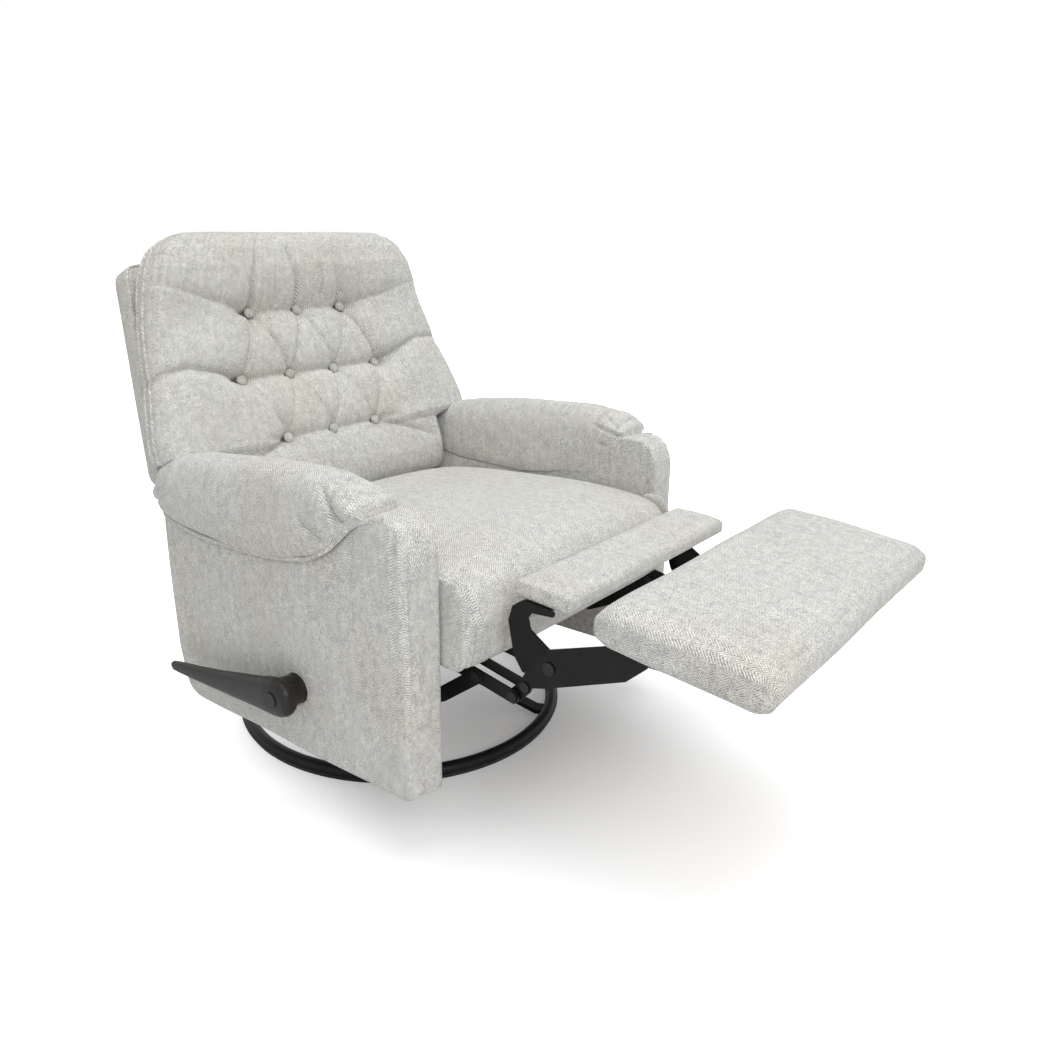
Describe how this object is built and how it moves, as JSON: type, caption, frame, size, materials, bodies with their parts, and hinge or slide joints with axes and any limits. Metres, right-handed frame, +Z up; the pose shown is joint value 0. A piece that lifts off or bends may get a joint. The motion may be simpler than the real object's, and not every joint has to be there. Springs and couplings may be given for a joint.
{
  "type": "swivel glider recliner",
  "caption": "Upholstered recliner with padded arms and a tufted back, a fold-out footrest with a filler pad, a side lever, and a ring base on which it swivels and glides.",
  "frame": {"origin": "on the floor, on the swivel axis, at the centre of the base ring", "axes": "+Z up, the chair faces -Y, and +X is at the sitter's left hand"},
  "size_m": [0.8465, 1.2747, 0.9212],
  "materials": {
    "black_steel": "satin black paint",
    "bright_steel": "plated",
    "black_plastic": "satin moulded",
    "hardwood": "bare",
    "webbing": "woven strap",
    "grey_chenille": "heathered herringbone weave"
  },
  "bodies": {
    "floor_base": {"floor_ring": "black_steel", "floor_strip": "black_plastic", "base_spokes": "black_steel", "hub_plate": "black_steel", "swivel_bearing": "black_plastic", "swivel_bolt": "bright_steel"},
    "swivel": {"swivel_platform": "black_steel", "glide_brackets": "black_steel", "upper_glide_pins": "bright_steel"},
    "front_links": {"front_glide_links": "black_steel"},
    "rear_links": {"rear_glide_links": "black_steel"},
    "chair": {"glide_rails": "black_steel", "lower_glide_pins": "bright_steel", "cross_tubes": "black_steel", "tube_end_bolts": "bright_steel", "left_side_board": "hardwood", "right_side_board": "hardwood", "left_side_panel": "grey_chenille", "right_side_panel": "grey_chenille", "left_arm_pad": "grey_chenille", "right_arm_pad": "grey_chenille", "mechanism_plates": "black_steel", "mechanism_pins": "bright_steel", "seat_side_rails": "hardwood", "seat_cross_rails": "hardwood", "seat_springs": "bright_steel", "spring_clips": "black_plastic", "seat_cushion": "grey_chenille", "hinge_plates": "black_steel", "recline_foot_pins": "bright_steel"},
    "lift": {"lift_links": "black_steel", "lift_pins": "bright_steel"},
    "control": {"control_links": "black_steel"},
    "drive": {"drive_links": "black_steel"},
    "arms": {"footrest_arms": "black_steel", "footrest_arm_pins": "bright_steel"},
    "footrest": {"footrest_brackets": "black_steel", "footrest_board": "hardwood", "footrest_pad": "grey_chenille"},
    "filler": {"filler_hooks": "black_steel", "filler_board": "hardwood", "filler_pad": "grey_chenille"},
    "handle": {"handle_lever": "black_plastic", "handle_cap": "black_plastic", "drive_shaft": "black_steel", "drive_cranks": "black_steel", "crank_pins": "bright_steel"},
    "recline": {"recline_links": "black_steel"},
    "back": {"back_brackets": "black_steel", "recline_head_pins": "bright_steel", "back_posts": "hardwood", "back_rails": "hardwood", "back_straps": "webbing", "back_shell": "grey_chenille", "back_cushion": "grey_chenille", "back_buttons": "grey_chenille"}
  },
  "joints": [
    {"name": "swivel_turn", "type": "hinge", "parent": "floor_base", "child": "swivel", "pos_m": [0, 0, 0.108], "axis": [0, 0, 1], "continuous": true},
    {"name": "front_link_swing", "type": "hinge", "parent": "swivel", "child": "front_links", "pos_m": [0, -0.062, 0.22], "axis": [1, 0, 0], "range_deg": [-24, 24]},
    {"name": "rear_link_swing", "type": "hinge", "parent": "swivel", "child": "rear_links", "pos_m": [0, 0.062, 0.22], "axis": [1, 0, 0], "range_deg": [-24, 24]},
    {"name": "glide", "type": "hinge", "parent": "front_links", "child": "chair", "pos_m": [0, -0.062, 0.13], "axis": [1, 0, 0], "range_deg": [-24, 24]},
    {"name": "footrest_lift", "type": "hinge", "parent": "chair", "child": "lift", "pos_m": [0, -0.286, 0.31], "axis": [1, 0, 0], "range_deg": [0, 108.4]},
    {"name": "control_swing", "type": "hinge", "parent": "chair", "child": "control", "pos_m": [0, -0.304, 0.329], "axis": [1, 0, 0], "range_deg": [0, 108.4]},
    {"name": "drive_turn", "type": "hinge", "parent": "lift", "child": "drive", "pos_m": [0, -0.42062, 0.28455], "axis": [1, 0, 0], "range_deg": [-108.4, 0]},
    {"name": "arm_turn", "type": "hinge", "parent": "lift", "child": "arms", "pos_m": [0, -0.487, 0.272], "axis": [1, 0, 0], "range_deg": [-108.4, 0]},
    {"name": "footrest_tilt", "type": "hinge", "parent": "arms", "child": "footrest", "pos_m": [0, -0.69, 0.395], "axis": [1, 0, 0], "range_deg": [0, 83.41]},
    {"name": "filler_tilt", "type": "hinge", "parent": "arms", "child": "filler", "pos_m": [0, -0.547, 0.333], "axis": [1, 0, 0], "range_deg": [0, 83.41]},
    {"name": "handle_turn", "type": "hinge", "parent": "chair", "child": "handle", "pos_m": [0, -0.15, 0.225], "axis": [1, 0, 0], "range_deg": [0, 108.4]},
    {"name": "recline_swing", "type": "hinge", "parent": "chair", "child": "recline", "pos_m": [0, 0.13, 0.27], "axis": [1, 0, 0], "range_deg": [-38, 0]},
    {"name": "back_lean", "type": "hinge", "parent": "recline", "child": "back", "pos_m": [0, 0.1007, 0.3551], "axis": [1, 0, 0], "range_deg": [0, 52]}
  ],
  "couplings": [
    {"joint": "front_link_swing", "follows": "glide", "ratio": -1},
    {"joint": "rear_link_swing", "follows": "glide", "ratio": -1},
    {"joint": "control_swing", "follows": "footrest_lift", "ratio": 1},
    {"joint": "drive_turn", "follows": "footrest_lift", "ratio": -1},
    {"joint": "arm_turn", "follows": "footrest_lift", "ratio": -1},
    {"joint": "footrest_tilt", "follows": "footrest_lift", "ratio": 0.7694},
    {"joint": "filler_tilt", "follows": "footrest_lift", "ratio": 0.7694},
    {"joint": "handle_turn", "follows": "footrest_lift", "ratio": 1},
    {"joint": "recline_swing", "follows": "back_lean", "ratio": -0.73077}
  ]
}
